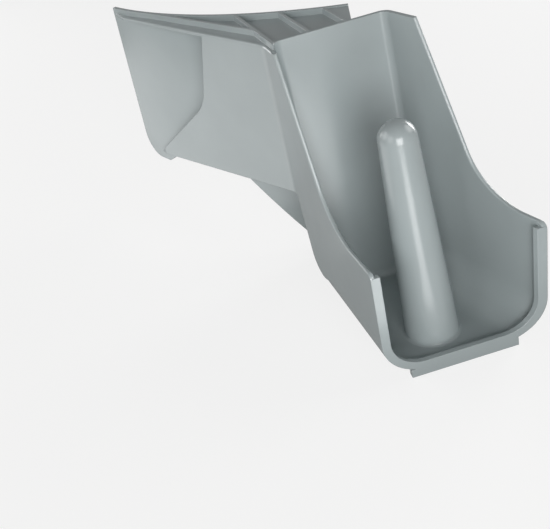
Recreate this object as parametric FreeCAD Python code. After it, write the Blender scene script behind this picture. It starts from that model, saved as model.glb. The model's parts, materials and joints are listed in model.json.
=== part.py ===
import FreeCAD, Part
import math
import os
from FreeCAD import Vector as V

# Chute plug for a rotary mower: one thin-walled moulding, millimetres and degrees.
# Origin: middle of the lip's front face, on the underside of the foot strip.
# X runs along the lip, Y runs from the lip into the machine, Z is up.

WALL = 3.0              # general wall thickness
TOP_Z = 224.0           # top of the back wall and of the top ribs

# trough plan and section
LIP_WIDTH = 124.8       # outside width at the lip
LEFT_SKEW = 6.9         # left wall, off the Y axis
RIGHT_SKEW = 21.0       # right wall, off the Y axis
FOOT_HEIGHT = 6.3       # underside of the floor above the foot
CORNER_R = 31.0         # outside radius along the two bottom edges
BACK_TOP_Y = 131.0      # inside of the back wall at the top
BACK_LEAN = 3.9         # back wall, off vertical
BACK_R = 6.0            # inside radius round the back wall

# rim of the side walls, as seen from the side
RIM_Z = 102.0           # level rim beside the lip
RIM_Y = 55.6            # where the slope would meet the level rim, at X = 0
RIM_SLOPE = 68.0        # slope of the rim, off level
RIM_R = 50.0            # blend between level rim and slope
RIM_TURN = 7.1          # the rim slopes face this far off the lip's direction
RIM_NOSE_R = 6.0        # rounded front corners of the rim
RIM_EDGE_R = 1.2        # softened long edges of the rim
LEFT_RIM_Y = 57.5       # the same for the left rim, which leans back further
LEFT_RIM_GAP = 4.5      # the left slope stops this far in front of the back corner
LEFT_TOP_Z = 219.6      # the left wall stops at the shelf

# lip bead and foot strip
BEAD_WIDTH = 3.6        # the bead stands this far in from the wall
BEAD_DEPTH = 4.0        # bead length along Y
BEAD_TOP_Z = 98.5       # the bead stops below the rim
FOOT_LEFT = -43.5
FOOT_RIGHT = 39.5
FOOT_DEPTH = 5.0

# grip post
POST_X = -13.8
POST_Y = 35.3
POST_BASE_R = 20.8
POST_TOP_R = 13.6
POST_HEIGHT = 172.0     # floor to the tip of the dome
POST_LEAN_BACK = 5.1
POST_LEAN_LEFT = 1.3
POST_FOOT_R = 4.5       # flare at the floor

# far wall, an upright arc about one axis
FAR_CX = 146.1
FAR_CY = 498.9
FAR_R = 364.9           # radius of its hollow side
FAR_LOW_Z = 79.0        # underside along the wing
FAR_DROP_U = 88.3       # the underside starts to drop here, along the plate
FAR_DROP_END_U = 151.3  # and reaches the trough's underside here
TIP_TOP_U = -28.6       # upper end of the wing tip, along the plate
TIP_LEAN = 7.7          # the tip edge leans outwards going down
TIP_LOW_Z = 70.7        # underside of the tip
TIP_R = 20.0            # rounded lower corner of the tip
TIP_STEP_U = -11.0      # the tip's underside ends here
TIP_STEP_LENGTH = 14.0  # and rises to the wing's underside over this length
TIP_STEP_R = 5.0

# wing plate and its recess, by distance U along the plate
PLATE_X = -171.3
PLATE_Y = 303.2         # a point on the plate's outer face, where U = 0
PLATE_ANGLE = 60.2      # plate direction, off the X axis
PLATE_Z = 219.6         # top of the wing's deck
PLATE_LOW_Z = 82.4      # plate underside at U = 0
PLATE_RISE = 4.0        # the underside climbs at this angle towards the trough
SHELF_R = 2.0           # rounded front edge of the deck
SHELF_TIP_U = -6.0      # from here the deck tapers to the far wall at the tip
SHELF_TIP_D = 5.6       # depth of the far wall's face at the tip
CREASE_R = 20.0         # hollow corner between plate and left wall
HOLLOW_U = 40.0         # the inside of the wing starts here
RECESS_TOP_U = 109.5
RECESS_KNEE_U = 85.2
RECESS_KNEE_Z = 152.0
RECESS_KNEE_R = 52.0
RECESS_TIP_U = -14.5
RECESS_TIP_Z = 82.5
RECESS_R = 3.0          # hollow corner round the recess
FIN_LOW_Y = 125.5       # lower rear corner of the fin behind the left wall
FIN_LOW_Z = 23.5
FIN_R = 18.0            # that corner is rounded
FIN_SET = 5.5           # the fin's rear edge starts this far in front of the plate
FIN_FRONT_Y = 85.0      # and its lower edge runs out on the trough here
END_FRONT_X = -15.5     # right end of the wing at the back wall
END_TURN = 13.0         # the right end opens at this angle going back

# ribs on the deck
RIB_COUNT = 3
RIB_T = 2.6
RIB_SKEW = 8.5          # ribs, off the Y axis
RIB_END_GAP = 2.5       # last rib, in from the wing's right end
STRIP_TIP_U = -22.0
STRIP_TIP_D = 6.6       # the strip starts here, behind the plate's face
STRIP_MEET = 39.0       # and meets the first rib this far along it
PAD_Z = 223.2           # raised pad beside the last rib

OVER = 60.0             # cutting shapes run on this far past the moulding
REACH = 400.0           # long enough to cross the whole moulding
SINK = 1.0              # added pieces start this far inside what carries them


def tan(angle):
    return math.tan(math.radians(angle))


def cos(angle):
    return math.cos(math.radians(angle))


def left_x(y, inset):
    return -LIP_WIDTH / 2 + inset / cos(LEFT_SKEW) - tan(LEFT_SKEW) * y


def right_x(y, inset):
    return LIP_WIDTH / 2 - inset / cos(RIGHT_SKEW) - tan(RIGHT_SKEW) * y


def back_y(z, outset):
    return BACK_TOP_Y + outset / cos(BACK_LEAN) - tan(BACK_LEAN) * (TOP_Z - z)


def end_x(y, inset):
    return END_FRONT_X - inset / cos(END_TURN) + tan(END_TURN) * (y - BACK_TOP_Y)


def plate(u, d, z):
    """Point by distance along the plate, depth behind its face, and height."""
    a = math.radians(PLATE_ANGLE)
    x = PLATE_X + u * math.cos(a) + d * math.sin(a)
    y = PLATE_Y - u * math.sin(a) + d * math.cos(a)
    return V(x, y, z)


def prism(points, vec):
    return Part.Face(Part.makePolygon(points + points[:1])).extrude(vec)


def arc_through(corner, before, after, radius):
    """Start, middle and end of the arc that rounds one corner of an outline."""
    p = (before - corner).normalize()
    q = (after - corner).normalize()
    half = p.getAngle(q) / 2
    a = corner + p * (radius / math.tan(half))
    b = corner + q * (radius / math.tan(half))
    mid = corner + (p + q).normalize() * (radius / math.sin(half) - radius)
    return a, mid, b


def outline(points, rounds):
    """Closed face through points; rounds maps a point's index to its radius."""
    n = len(points)
    ends = {}
    for i in rounds:
        ends[i] = arc_through(points[i], points[i - 1], points[(i + 1) % n], rounds[i])
    edges = []
    for i in range(n):
        j = (i + 1) % n
        start = ends[i][2] if i in ends else points[i]
        stop = ends[j][0] if j in ends else points[j]
        if (stop - start).Length > 1e-6:
            edges.append(Part.makeLine(start, stop))
        if j in ends:
            edges.append(Part.Arc(*ends[j]).toShape())
    return Part.Face(Part.Wire(edges))


def edges_where(shape, test):
    """Edges whose ends and middle all pass the test."""
    found = []
    for e in shape.Edges:
        span = e.LastParameter - e.FirstParameter
        if all(test(e.valueAt(e.FirstParameter + span * s)) for s in (0.02, 0.5, 0.98)):
            found.append(e)
    return found


def trough_block(inset, floor_z, radius, front_y, back_r):
    """Tapered trough with rounded bottom edges and a leaning, rounded back."""
    far_y = BACK_TOP_Y + OVER / 4
    pts = [V(left_x(front_y, inset), front_y, floor_z),
           V(right_x(front_y, inset), front_y, floor_z),
           V(right_x(far_y, inset), far_y, floor_z),
           V(left_x(far_y, inset), far_y, floor_z)]
    body = prism(pts, V(0, 0, TOP_Z - floor_z))
    sides = edges_where(body, lambda p: abs(p.z - floor_z) < 1e-6 and front_y < p.y - 0.01 < far_y - 0.02)
    body = body.makeFillet(radius, sides)
    out = WALL - inset
    low, high = -OVER, TOP_Z + OVER
    body = body.cut(prism([V(-REACH, back_y(low, out), low), V(-REACH, back_y(high, out), high),
                           V(-REACH, REACH, high), V(-REACH, REACH, low)], V(2 * REACH, 0, 0)))
    if back_r > 0:
        turned = edges_where(body, lambda p: abs(p.y - back_y(p.z, out)) < 1e-4 and p.z < TOP_Z - 0.01)
        body = body.makeFillet(back_r, turned)
    return body


# Trough: outside block less the inside block.
outer = trough_block(0.0, FOOT_HEIGHT, CORNER_R, 0.0, BACK_R + WALL)
cavity = trough_block(WALL, FOOT_HEIGHT + WALL, CORNER_R - WALL, -OVER, BACK_R)

# Side walls: level rim beside the lip, then a steep slope up to the back.
high_z = TOP_Z + OVER
slope_y = RIM_Y + (high_z - RIM_Z) / tan(RIM_SLOPE)
left_end_y = back_y(LEFT_TOP_Z, 0) - BACK_R - LEFT_RIM_GAP
left_run = left_end_y + tan(RIM_TURN) * left_x(left_end_y, 0) - LEFT_RIM_Y
left_slope_y = LEFT_RIM_Y + left_run * (high_z - RIM_Z) / (LEFT_TOP_Z - RIM_Z)
sweep = V(REACH, -REACH * tan(RIM_TURN), 0)
right_slope = outline([V(0, -OVER, RIM_Z), V(0, RIM_Y, RIM_Z), V(0, slope_y, high_z), V(0, -OVER, high_z)],
                      {1: RIM_R}).extrude(sweep)
left_slope = outline([V(0, -OVER, RIM_Z), V(0, LEFT_RIM_Y, RIM_Z), V(0, left_slope_y, high_z),
                      V(0, -OVER, high_z)], {1: RIM_R}).extrude(sweep * -1)
nose_y = 2 * RIM_NOSE_R
nose = outline([V(-REACH, -OVER, RIM_Z + SINK), V(-REACH, -OVER, RIM_Z / 2), V(-REACH, 0, RIM_Z / 2),
                V(-REACH, 0, RIM_Z), V(-REACH, nose_y, RIM_Z), V(-REACH, nose_y, RIM_Z + SINK)],
               {3: RIM_NOSE_R}).extrude(V(2 * REACH, 0, 0))
top_inset = WALL + SINK / 2
top_end_y = BACK_TOP_Y + 2 * WALL
left_top = prism([V(-REACH, -OVER, LEFT_TOP_Z), V(left_x(-OVER, top_inset), -OVER, LEFT_TOP_Z),
                  V(left_x(top_end_y, top_inset), top_end_y, LEFT_TOP_Z), V(-REACH, top_end_y, LEFT_TOP_Z)],
                 V(0, 0, OVER))
trough = outer.cut(cavity).cut(left_slope).cut(right_slope).cut(left_top)


def on_side(p):
    """True on either face of a side wall, from the level rim upwards."""
    walls = [left_x(p.y, 0), left_x(p.y, WALL), right_x(p.y, 0), right_x(p.y, WALL)]
    return p.z > RIM_Z - 1e-3 and min(abs(p.x - x) for x in walls) < 1e-4


def off_end(p):
    """True away from the level tops, the front edge and the back corners."""
    level = abs(p.z - LEFT_TOP_Z) < 1e-3 or p.z > TOP_Z - 1e-3
    return not level and 1e-3 < p.y < back_y(p.z, 0) - BACK_R - 1e-3


rim_edges = edges_where(trough, lambda p: on_side(p) and off_end(p))
trough = trough.makeFillet(RIM_EDGE_R, rim_edges).cut(nose)

# Lip: a bead inside the U edge, and a foot strip under it.
bead = trough_block(WALL / 2, FOOT_HEIGHT + WALL / 2, CORNER_R - WALL / 2, -OVER, 0)
bead = bead.cut(trough_block(WALL + BEAD_WIDTH, FOOT_HEIGHT + WALL + BEAD_WIDTH,
                             CORNER_R - WALL - BEAD_WIDTH, -2 * OVER, 0))
bead = bead.common(Part.makeBox(LIP_WIDTH, BEAD_DEPTH, BEAD_TOP_Z, V(-LIP_WIDTH / 2, 0, 0)))
foot = Part.makeBox(FOOT_RIGHT - FOOT_LEFT, FOOT_DEPTH, FOOT_HEIGHT + SINK, V(FOOT_LEFT, 0, 0))


# Grip post: a tapered round post with a domed top, hollow from below.
def post(inset, low):
    taper = math.atan2(POST_BASE_R - POST_TOP_R, POST_HEIGHT)
    r = POST_TOP_R - inset
    zc = POST_HEIGHT - POST_TOP_R
    top = V(r * math.cos(taper), 0, zc + r * math.sin(taper))
    foot_r = POST_BASE_R - inset - low * math.tan(taper)
    half = (taper + math.pi / 2) / 2
    edges = [Part.makeLine(V(0, 0, low), V(foot_r, 0, low)), Part.makeLine(V(foot_r, 0, low), top),
             Part.Arc(top, V(r * math.cos(half), 0, zc + r * math.sin(half)), V(0, 0, zc + r)).toShape(),
             Part.makeLine(V(0, 0, zc + r), V(0, 0, low))]
    body = Part.Face(Part.Wire(edges)).revolve(V(0, 0, 0), V(0, 0, 1), 360)
    body.rotate(V(0, 0, 0), V(1, 0, 0), -POST_LEAN_BACK)
    body.rotate(V(0, 0, 0), V(0, 1, 0), -POST_LEAN_LEFT)
    body.translate(V(POST_X, POST_Y, FOOT_HEIGHT + WALL))
    return body


# A hollow flare blends the post into the floor; its ends lie inside the post and the floor.
flare_in = POST_BASE_R - 0.4 * WALL
flare_out = flare_in + POST_FOOT_R
flare_z = POST_FOOT_R - 0.1 * WALL
low_z = -WALL / 2
flare_mid = POST_FOOT_R * cos(45)
curve = Part.Arc(V(flare_out, 0, flare_z - POST_FOOT_R), V(flare_out - flare_mid, 0, flare_z - flare_mid),
                 V(flare_in, 0, flare_z))
flare = Part.Face(Part.Wire([Part.makeLine(V(0, 0, low_z), V(flare_out, 0, low_z)),
                             Part.makeLine(V(flare_out, 0, low_z), V(flare_out, 0, flare_z - POST_FOOT_R)),
                             curve.toShape(), Part.makeLine(V(flare_in, 0, flare_z), V(0, 0, flare_z)),
                             Part.makeLine(V(0, 0, flare_z), V(0, 0, low_z))]))
flare = flare.revolve(V(0, 0, 0), V(0, 0, 1), 360)
flare.translate(V(POST_X, POST_Y, FOOT_HEIGHT + WALL))

# Wing: deck, plate and right end as one block, hollow from below.
far_solid = Part.makeCylinder(FAR_R, TOP_Z + 2 * OVER, V(FAR_CX, FAR_CY, -OVER))
far_mid = Part.makeCylinder(FAR_R + WALL / 2, TOP_Z + 2 * OVER, V(FAR_CX, FAR_CY, -OVER))
far_front = Part.makeCylinder(FAR_R + WALL, TOP_Z + 2 * OVER, V(FAR_CX, FAR_CY, -OVER))
deep = plate(0, REACH, 0) - plate(0, 0, 0)
back_end_y = BACK_TOP_Y + 2 * OVER


def crease(inset):
    """Where the plate's face meets the left wall, in plan."""
    p = plate(0, inset, 0)
    k = 1 / tan(PLATE_ANGLE)
    y = (p.x + k * p.y - left_x(0, inset)) / (k - tan(LEFT_SKEW))
    return V(left_x(y, inset), y, 0)


def wing_plan(inset, tip_u, start_y, low, high):
    """Upright block between left wall, plate and right end, running back past the far wall."""
    y = crease(inset).y
    pts = [V(end_x(start_y, inset), start_y, low), V(left_x(start_y, inset), start_y, low),
           V(left_x(y, inset), y, low), plate(tip_u, inset, low),
           plate(TIP_TOP_U, SHELF_TIP_D + inset, low), plate(TIP_TOP_U, 1.5 * OVER, low),
           V(end_x(back_end_y, inset), back_end_y, low)]
    return outline(pts, {2: CREASE_R + inset}).extrude(V(0, 0, high - low))


def recess(grow):
    """Block over the recess, seen square on to the plate."""
    upper = V(RECESS_TOP_U - RECESS_KNEE_U, PLATE_Z - WALL - RECESS_KNEE_Z).normalize()
    lower = V(RECESS_KNEE_U - RECESS_TIP_U, RECESS_KNEE_Z - RECESS_TIP_Z).normalize()
    n1 = V(upper.y, -upper.x)
    n2 = V(lower.y, -lower.x)
    knee = V(RECESS_KNEE_U, RECESS_KNEE_Z) + n2 * grow + lower * (grow * math.tan(n1.getAngle(n2) / 2))
    top_z = PLATE_Z - WALL + grow
    top_u = knee.x + upper.x * (top_z - knee.y) / upper.y
    tip_z = knee.y - lower.y * (knee.x - RECESS_TIP_U) / lower.x
    tip_u = RECESS_TIP_U - 2 * OVER
    pts = [plate(tip_u, -OVER, top_z), plate(tip_u, -OVER, -OVER), plate(RECESS_TIP_U, -OVER, -OVER),
           plate(RECESS_TIP_U, -OVER, tip_z), plate(knee.x, -OVER, knee.y), plate(top_u, -OVER, top_z)]
    return outline(pts, {4: RECESS_KNEE_R + grow}).extrude(deep)


deck = wing_plan(0.0, SHELF_TIP_U, BACK_TOP_Y - OVER / 4, FOOT_HEIGHT, PLATE_Z)
normal = plate(0, 1, 0) - plate(0, 0, 0)
on_plate = normal.dot(plate(0, 0, 0))
front = edges_where(deck, lambda p: abs(p.z - PLATE_Z) < 1e-6
                    and abs(normal.dot(V(p.x, p.y, 0)) - on_plate) < 1e-4)
deck = deck.makeFillet(SHELF_R, front)

pocket = recess(0.0).cut(far_front)
border = edges_where(pocket, lambda p: abs(math.hypot(p.x - FAR_CX, p.y - FAR_CY) - FAR_R - WALL) < 1e-3
                     and p.z < PLATE_Z - WALL - 1e-3 and p.z > RECESS_TIP_Z - 8
                     and (p - plate(0, 0, 0)).dot(plate(1, 0, 0) - plate(0, 0, 0)) > RECESS_TIP_U - OVER)
pocket = pocket.makeFillet(RECESS_R, border)
hollow = wing_plan(WALL, HOLLOW_U, BACK_TOP_Y - OVER, -OVER, PLATE_Z - WALL)
hollow = hollow.cut(far_front).cut(recess(WALL)).cut(outer)

# Undersides: the plate's edge climbs towards the trough; the far wall steps up from the tip, then drops.
climb = tan(PLATE_RISE)
under_plate = prism([plate(-REACH / 2, -OVER, -OVER), plate(REACH, -OVER, -OVER),
                     plate(REACH, -OVER, PLATE_LOW_Z + REACH * climb),
                     plate(-REACH / 2, -OVER, PLATE_LOW_Z - REACH / 2 * climb)],
                    plate(0, 1.5 * OVER, 0) - plate(0, 0, 0))
corner_u = TIP_TOP_U - (TOP_Z - TIP_LOW_Z) * tan(TIP_LEAN)
over_u = TIP_TOP_U + OVER * tan(TIP_LEAN)
far_under = outline([plate(corner_u - REACH, -OVER, -OVER), plate(corner_u - REACH, -OVER, TOP_Z + OVER),
                     plate(over_u, -OVER, TOP_Z + OVER), plate(corner_u, -OVER, TIP_LOW_Z),
                     plate(TIP_STEP_U, -OVER, TIP_LOW_Z),
                     plate(TIP_STEP_U + TIP_STEP_LENGTH, -OVER, FAR_LOW_Z),
                     plate(FAR_DROP_U, -OVER, FAR_LOW_Z),
                     plate(FAR_DROP_END_U, -OVER, FOOT_HEIGHT - SINK),
                     plate(FAR_DROP_END_U, -OVER, -OVER)],
                    {3: TIP_R, 4: TIP_STEP_R, 5: TIP_STEP_R}).extrude(deep)

span = prism([V(FAR_CX, FAR_CY, FOOT_HEIGHT), V(-REACH, FAR_CY, FOOT_HEIGHT), V(-REACH, 0, FOOT_HEIGHT),
              V(end_x(0, 0), 0, FOOT_HEIGHT), V(end_x(REACH, 0), REACH, FOOT_HEIGHT)],
             V(0, 0, TOP_Z - FOOT_HEIGHT))
far_wall = far_front.cut(far_solid).common(span).cut(far_under)
deck = deck.cut(far_mid).cut(hollow).cut(under_plate).cut(pocket).cut(outer).cut(far_under)

# Fin: the left wall runs on behind the back wall and carries the plate; its rear edge leans in going down.
crease_y = crease(0.0).y
crease_z = PLATE_LOW_Z + (PLATE_Y - crease_y) / math.sin(math.radians(PLATE_ANGLE)) * climb
fin_top_z = PLATE_Z - WALL
fin = outline([V(0, FIN_LOW_Y, FIN_LOW_Z), V(0, crease_y - FIN_SET, crease_z), V(0, crease_y, crease_z),
               V(0, crease_y, fin_top_z), V(0, BACK_TOP_Y, fin_top_z),
               V(0, FIN_FRONT_Y, FOOT_HEIGHT + CORNER_R)], {0: FIN_R}).extrude(V(-REACH, 0, 0))
fin = fin.common(prism([V(left_x(0, 0), 0, 0), V(left_x(crease_y, 0), crease_y, 0),
                        V(left_x(crease_y, WALL), crease_y, 0), V(left_x(0, WALL), 0, 0)], V(0, 0, TOP_Z)))
fin = fin.cut(cavity)

# Ribs and a raised pad on the deck, and a strip along the shelf.
along = V(-tan(RIB_SKEW), 1, 0).normalize()
across = V(along.y, -along.x, 0) * (RIB_T / 2)
up = V(0, 0, TOP_Z - PLATE_Z + SINK)
first_x = left_x(BACK_TOP_Y, WALL) + RIB_T / 2
pitch = (END_FRONT_X - RIB_END_GAP - first_x) / (RIB_COUNT - 1)
starts = [V(first_x + pitch * i, BACK_TOP_Y - WALL / 2, PLATE_Z - SINK) for i in range(RIB_COUNT)]
long = along * REACH
ribs = [prism([p - across, p + across, p + across + long, p - across + long], up).cut(far_mid).cut(cavity)
        for p in starts]
last = starts[-1]
pad = prism([last, V(end_x(last.y, 0), last.y, last.z), V(end_x(back_end_y, 0), back_end_y, last.z),
             last + along * (back_end_y - last.y)], V(0, 0, PAD_Z - PLATE_Z + SINK)).cut(far_mid).cut(cavity)
meet = starts[0] + along * STRIP_MEET
tip = plate(STRIP_TIP_U, STRIP_TIP_D, PLATE_Z - SINK)
run = (meet - tip).normalize()
half_t = V(run.y, -run.x, 0) * (RIB_T / 2)
strip = prism([tip - half_t, tip + half_t, meet + half_t, meet - half_t], up).cut(far_mid)

plug = trough.fuse([post(0.0, -WALL / 2), flare, deck, far_wall, fin, bead, foot, strip, pad] + ribs)
plug = plug.cut(post(WALL, -OVER / 2)).removeSplitter()
os.makedirs("parts", exist_ok=True)
plug.exportStep("parts/mulching_plug.step")
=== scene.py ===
import json
import math

import bpy
import bmesh
from mathutils import Matrix, Vector

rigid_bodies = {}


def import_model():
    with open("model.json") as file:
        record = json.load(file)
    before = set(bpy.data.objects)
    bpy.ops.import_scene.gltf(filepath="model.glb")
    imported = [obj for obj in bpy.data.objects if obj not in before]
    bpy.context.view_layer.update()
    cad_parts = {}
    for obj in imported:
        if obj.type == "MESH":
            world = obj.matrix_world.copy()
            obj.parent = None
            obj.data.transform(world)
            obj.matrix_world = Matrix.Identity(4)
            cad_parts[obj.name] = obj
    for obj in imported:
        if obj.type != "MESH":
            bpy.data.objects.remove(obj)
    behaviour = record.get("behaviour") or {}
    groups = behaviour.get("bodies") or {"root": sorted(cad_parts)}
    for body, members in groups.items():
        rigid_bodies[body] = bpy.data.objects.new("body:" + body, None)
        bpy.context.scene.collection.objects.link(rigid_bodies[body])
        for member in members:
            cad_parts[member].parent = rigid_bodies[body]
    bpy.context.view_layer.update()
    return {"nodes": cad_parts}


for spare in list(bpy.data.objects):
    bpy.data.objects.remove(spare)

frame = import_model()


# The plug: one injection moulding in grey polypropylene, a trough with a grip post
# in it and a hollow wing behind, all of one wall thickness. It has no fasteners and
# is pushed into the mower's rear chute by hand.
body = frame["nodes"]["mulching_plug"]


def linear(hex_code):
    """sRGB hex to the linear RGBA that shader sockets take."""
    parts = [int(hex_code[i:i + 2], 16) / 255 for i in (0, 2, 4)]
    return [c / 12.92 if c <= 0.04045 else ((c + 0.055) / 1.055) ** 2.4 for c in parts] + [1.0]


def add(tree, kind, settings=(), links=()):
    """Add one node, set its properties and input values, and link its inputs."""
    node = tree.nodes.new(kind)
    for name, value in dict(settings).items():
        if isinstance(name, int) or name in node.inputs:
            node.inputs[name].default_value = value
        else:
            setattr(node, name, value)
    for name, source in dict(links).items():
        tree.links.new(source, node.inputs[name])
    return node


# Moulded polypropylene from a finely spark-eroded tool: an even satin grey with a
# faint cool cast. The tool's grain is about 0.5 mm, drawn at 1.2 mm so that it shows.
# Broad patches are left slightly smoother, and the edges carry a painted highlight in a paler grey.
patch_size = 0.06
grain_size = 0.0012
grain_depth = 0.0003
edge_radius = 0.0008
plastic = bpy.data.materials.new("moulded_polypropylene_grey")
plastic.use_nodes = True
tree = plastic.node_tree
tree.nodes.clear()
place = add(tree, "ShaderNodeTexCoord")
patches = add(tree, "ShaderNodeTexNoise", {"Scale": 1 / patch_size, "Detail": 3.0, "Roughness": 0.5},
              {"Vector": place.outputs["Object"]})
grain = add(tree, "ShaderNodeTexNoise", {"Scale": 1 / grain_size, "Detail": 2.0, "Roughness": 0.5},
            {"Vector": place.outputs["Object"]})
rounded = add(tree, "ShaderNodeBevel", {"samples": 6, "Radius": edge_radius})
sharp = add(tree, "ShaderNodeNewGeometry")
# Painted highlight: where the rounded normal turns away from the true one, at the edges, the grey is mixed
# towards a paler tone as if the edges caught the light.
facing = add(tree, "ShaderNodeVectorMath", {"operation": "DOT_PRODUCT"},
             {0: rounded.outputs["Normal"], 1: sharp.outputs["Normal"]})
painted_edge_highlight = add(tree, "ShaderNodeMapRange", {"From Min": 0.98, "From Max": 0.80},
           {"Value": facing.outputs["Value"]})
shade = add(tree, "ShaderNodeValToRGB", links={"Fac": patches.outputs["Fac"]})
shade.color_ramp.elements[0].position = 0.3
shade.color_ramp.elements[0].color = linear("a1aaab")
shade.color_ramp.elements[1].position = 0.7
shade.color_ramp.elements[1].color = linear("a6afb0")
edge_highlit_colour = add(tree, "ShaderNodeMixRGB", {"Color2": linear("acb5b6")},
            {"Fac": painted_edge_highlight.outputs["Result"], "Color1": shade.outputs["Color"]})
gloss = add(tree, "ShaderNodeMapRange", {"To Min": 0.20, "To Max": 0.26},
            {"Value": patches.outputs["Fac"]})
bump = add(tree, "ShaderNodeBump", {"Strength": 0.10, "Distance": grain_depth},
           {"Height": grain.outputs["Fac"], "Normal": rounded.outputs["Normal"]})
surface = add(tree, "ShaderNodeBsdfPrincipled", {"IOR": 1.49, "Specular IOR Level": 0.8},
              {"Base Color": edge_highlit_colour.outputs["Color"], "Roughness": gloss.outputs["Result"],
               "Normal": bump.outputs["Normal"]})
add(tree, "ShaderNodeOutputMaterial", links={"Surface": surface.outputs["BSDF"]})
body.data.materials.clear()
body.data.materials.append(plastic)


# Studio sweep: a sheet of matt white paper under the plug. To the camera it is close
# to white, and it keeps the soft shadow.
floor_reach = 6.0
floor_mesh = bpy.data.meshes.new("floor")
shape = bmesh.new()
bmesh.ops.create_grid(shape, x_segments=1, y_segments=1, size=floor_reach)
shape.to_mesh(floor_mesh)
shape.free()
floor = bpy.data.objects.new("floor", floor_mesh)
bpy.context.scene.collection.objects.link(floor)


def seen_white(tree):
    """How white the background shows: fully to the camera and through clear pieces, dimly in gloss."""
    in_gloss = 0.3
    path = add(tree, "ShaderNodeLightPath")
    mirrored = add(tree, "ShaderNodeMath", {"operation": "MULTIPLY_ADD", 1: in_gloss},
                   {0: path.outputs["Is Glossy Ray"], 2: path.outputs["Is Camera Ray"]})
    seen = add(tree, "ShaderNodeMath", {"operation": "MAXIMUM"},
               {0: mirrored.outputs["Value"], 1: path.outputs["Is Transmission Ray"]})
    return seen.outputs["Value"]


paper = bpy.data.materials.new("studio_paper_white")
paper.use_nodes = True
tree = paper.node_tree
tree.nodes.clear()
matt = add(tree, "ShaderNodeBsdfDiffuse", {"Color": linear("f2f2f0")})
glow = add(tree, "ShaderNodeEmission", {"Color": linear("ffffff")}, {"Strength": seen_white(tree)})
sheet = add(tree, "ShaderNodeMixShader", {"Fac": 0.78},
            {1: matt.outputs["BSDF"], 2: glow.outputs["Emission"]})
add(tree, "ShaderNodeOutputMaterial", links={"Surface": sheet.outputs["Shader"]})
floor_mesh.materials.append(paper)


# Surroundings: the studio beyond the paper, white to the camera. It lights the plug
# only faintly, so that the softboxes shape it.
world = bpy.data.worlds.new("studio")
bpy.context.scene.world = world
world.use_nodes = True
tree = world.node_tree
tree.nodes.clear()
ambient = add(tree, "ShaderNodeBackground", {"Color": linear("ffffff"), "Strength": 0.03})
white = add(tree, "ShaderNodeBackground", {"Color": linear("ffffff"), "Strength": 1.0})
choice = add(tree, "ShaderNodeMixShader", links={"Fac": seen_white(tree), 1: ambient.outputs["Background"],
                                                 2: white.outputs["Background"]})
add(tree, "ShaderNodeOutputWorld", links={"Surface": choice.outputs["Shader"]})


# Soft light: large softboxes in front and at both sides, and two low ones for the
# far side. Each is given by its direction from the front, its height angle, its
# distance, its size and its power.
middle = Vector((-0.06, 0.15, 0.10))
for name, around, height, far, size, power in (("softbox_front", -5.0, 13.0, 1.8, 1.0, 22.0),
                                               ("softbox_left", -104.0, 27.0, 1.8, 1.0, 6.5),
                                               ("softbox_left_front", -60.0, 25.0, 1.8, 1.0, 4.5),
                                               ("softbox_right", 88.0, 32.0, 1.8, 1.0, 7.0),
                                               ("softbox_back_left", -140.0, 10.0, 1.6, 0.7, 5.0),
                                               ("softbox_back_right", 122.0, 10.0, 1.8, 0.75, 16.0)):
    lamp = bpy.data.lights.new(name, "AREA")
    lamp.size = size
    lamp.energy = power
    holder = bpy.data.objects.new(name, lamp)
    bpy.context.scene.collection.objects.link(holder)
    around, height = math.radians(around), math.radians(height)
    away = Vector((math.sin(around) * math.cos(height),
                   -math.cos(around) * math.cos(height),
                   math.sin(height)))
    holder.location = middle + away * far
    holder.rotation_euler = away.to_track_quat("Z", "Y").to_euler()

# Four lamps lie on the floor, out of the camera's sight: three strips in front of the
# lip, wider with distance, which draw the long highlights on post and corner, and a
# panel beside the wing. Each is given by its middle, its turn, its sizes and its power.
lamp_height = 0.004
for name, spot, turn, sizes, power in (("strip_near", (-0.033, -0.124), -97.0, (0.12, 0.08), 0.075),
                                       ("strip_middle", (-0.050, -0.259), -97.0, (0.15, 0.13), 0.22),
                                       ("strip_far", (-0.073, -0.449), -97.0, (0.23, 0.22), 0.72),
                                       ("panel_wing", (-0.465, 0.374), -60.0, (0.70, 0.36), 0.65)):
    lamp = bpy.data.lights.new(name, "AREA")
    lamp.shape = "RECTANGLE"
    lamp.size, lamp.size_y = sizes
    lamp.energy = power
    holder = bpy.data.objects.new(name, lamp)
    bpy.context.scene.collection.objects.link(holder)
    holder.location = spot + (lamp_height,)
    holder.rotation_euler = (math.pi, 0.0, math.radians(turn))
    holder.visible_camera = False


# Camera: above the lip looking down 35 degrees, rolled 14.4 degrees, with the focal
# length found from the plug's own edges in a frame 550 by 529 pixels.
frame_width = 550
focal_pixels = 779.153
eye = Vector((-0.150238, -0.400304, 0.414067))
pitch = math.radians(35.0)
roll = math.radians(14.428)
turn = math.radians(4.202)
ahead = Vector((math.sin(turn) * math.cos(pitch), math.cos(turn) * math.cos(pitch), -math.sin(pitch)))
level = Vector((math.cos(turn), -math.sin(turn), 0.0))
upright = level.cross(ahead)
right = level * math.cos(roll) - upright * math.sin(roll)
top = level * math.sin(roll) + upright * math.cos(roll)
view = bpy.data.cameras.new("camera")
view.sensor_fit = "HORIZONTAL"
view.sensor_width = 36.0
view.lens = view.sensor_width * focal_pixels / frame_width
camera = bpy.data.objects.new("camera", view)
bpy.context.scene.collection.objects.link(camera)
axes = Matrix((right, top, -ahead)).transposed().to_4x4()
camera.matrix_world = Matrix.Translation(eye) @ axes
bpy.context.scene.camera = camera
bpy.context.scene.view_settings.view_transform = "Standard"
